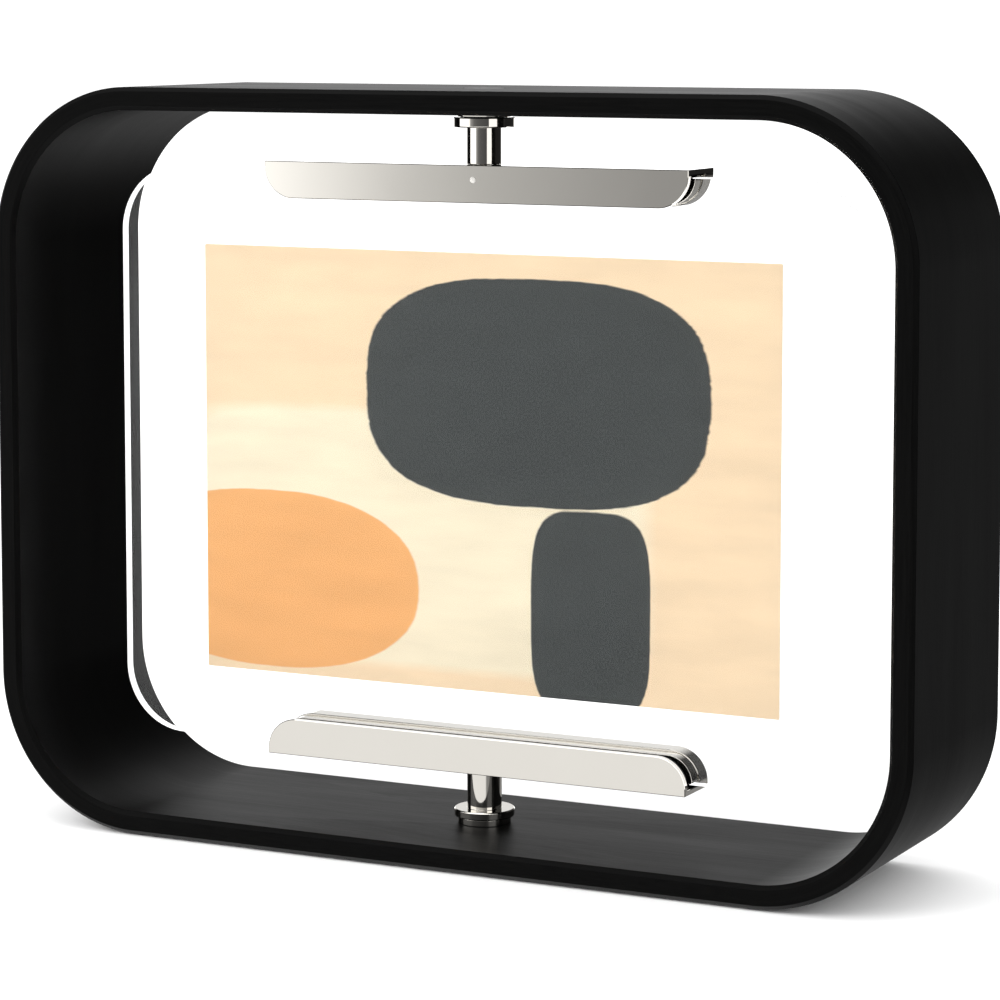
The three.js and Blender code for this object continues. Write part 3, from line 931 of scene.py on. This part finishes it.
# Heights of the direction over which one band of cards passes into the next: -1 is down, and 1 is up.
UNDERFOOT_TO_LOW = (-0.75, -0.45)
LOW_TO_LEVEL = (-0.16, -0.09)
LEVEL_TO_HIGH = (0.05, 0.15)
HIGH_TO_OVERHEAD = (0.7, 0.97)


def compass_ramp(tree, compass, cards):
    """Brightness by compass direction, from (degrees, brightness) stops."""
    ramp = add_node(tree, "ShaderNodeValToRGB", {0: compass})
    elements = ramp.color_ramp.elements
    elements.remove(elements[1])
    for index, (degrees, light) in enumerate(cards):
        place = (degrees + 180) / 360
        stop = elements[0] if index == 0 else elements.new(place)
        stop.position = place
        level = light / BRIGHTEST_CARD
        stop.color = (level, level, level, 1)
    return maths(tree, "MULTIPLY", ramp.outputs[0], BRIGHTEST_CARD)


def number_mix(tree, factor, first, second):
    """A number between two, by a factor from 0 to 1."""
    return add_node(tree, "ShaderNodeMix", {0: factor, 2: first, 3: second}, data_type="FLOAT").outputs[0]


def stacked(tree, height, heights, below, above):
    """Passes from one brightness to another as the direction's height goes over a range."""
    return number_mix(tree, ranged(tree, height, 0, 1, *heights), below, above)


def make_world():
    """An even room for matt surfaces, the cards for glossy ones, and a plain backdrop for the camera."""
    world = bpy.data.worlds.new("studio")
    bpy.context.scene.world = world
    world.use_nodes = True
    world.cycles.sampling_method = "NONE"
    tree = world.node_tree
    direction = add_node(tree, "ShaderNodeTexCoord").outputs["Generated"]
    axes = add_node(tree, "ShaderNodeSeparateXYZ", {0: direction}).outputs
    turn = maths(tree, "ARCTAN2", axes["Y"], axes["X"])
    compass = maths(tree, "MULTIPLY_ADD", turn, 1 / (2 * math.pi), 0.5)
    height = axes["Z"]
    low = compass_ramp(tree, compass, LOW_CARDS)
    level = compass_ramp(tree, compass, LEVEL_CARDS)
    high = compass_ramp(tree, compass, HIGH_CARDS)
    mirrored = stacked(tree, height, UNDERFOOT_TO_LOW, UNDERFOOT_LIGHT, low)
    mirrored = stacked(tree, height, LOW_TO_LEVEL, mirrored, level)
    mirrored = stacked(tree, height, LEVEL_TO_HIGH, mirrored, high)
    mirrored = stacked(tree, height, HIGH_TO_OVERHEAD, mirrored, OVERHEAD_LIGHT)
    path = add_node(tree, "ShaderNodeLightPath").outputs
    seen = maths(tree, "MAXIMUM", path["Is Camera Ray"], path["Is Transmission Ray"])
    light = number_mix(tree, path["Is Glossy Ray"], ROOM_LIGHT, mirrored)
    light = number_mix(tree, seen, light, BACKDROP_LIGHT)
    tree.links.new(light, tree.nodes["Background"].inputs["Color"])


# ---------- assembly ----------
def make_materials():
    """Every material but the print's, by name."""
    return {
        "black_wood": black_wood(),
        "polished_nickel": nickel(
            "polished_nickel", dark=(0.735, 0.708, 0.655), light=(0.765, 0.738, 0.685),
            smoothest=0.03, roughest=0.05,
        ),
        # Stop pin: satin roughness, with a base colour raised above the polished nickel's as a painted
        # highlight.
        "satin_nickel_painted_highlight": nickel(
            "satin_nickel_painted_highlight", dark=(0.92, 0.9, 0.86), light=(0.94, 0.92, 0.88), smoothest=0.5, roughest=0.55,
        ),
        "steel": bright_steel(),
        "black_cap": fine_plastic(
            "black_cap", dark=(0.002, 0.002, 0.002), light=(0.004, 0.004, 0.004),
            roughness=0.35, specular=0.1, grain=900, relief=0.05,
        ),
        "white_plastic": fine_plastic(
            "white_plastic", dark=(0.7, 0.69, 0.66), light=(0.76, 0.75, 0.72),
            roughness=0.45, specular=0.4, grain=800, relief=0.05,
        ),
        "soft_pad": fine_plastic(
            "soft_pad", dark=(0.012, 0.012, 0.012), light=(0.024, 0.024, 0.024),
            roughness=0.85, specular=0.3, grain=1600, relief=0.3,
        ),
        "clear_pane": clear_pane(),
        "pane_rim": pane_rim(),
    }


def make_stage():
    make_camera()
    make_floor()
    make_world()
    make_key_light()
    bpy.context.scene.view_settings.view_transform = "Standard"


def make_everything():
    make_stage()
    materials = make_materials()
    make_hoop(materials["black_wood"])
    make_base_pads(materials["soft_pad"])
    make_pivots(materials)
    for side in ("bottom", "top"):
        make_channel(side, materials["polished_nickel"])
        make_channel_screw(side, materials["steel"])
        make_slot_strip(side, f"{side}_clamp_strip", "milled", STRIP, "polished_nickel", materials)
        make_slot_strip(side, f"{side}_front_liner", "strip", LINER, "soft_pad", materials)
        make_clamp_screws(side, materials["steel"])
    make_stop_screw(materials["satin_nickel_painted_highlight"])
    make_bottom_pad(materials["soft_pad"])
    make_pane("front_pane", materials)
    make_pane("rear_pane", materials)
    make_print()


make_everything()
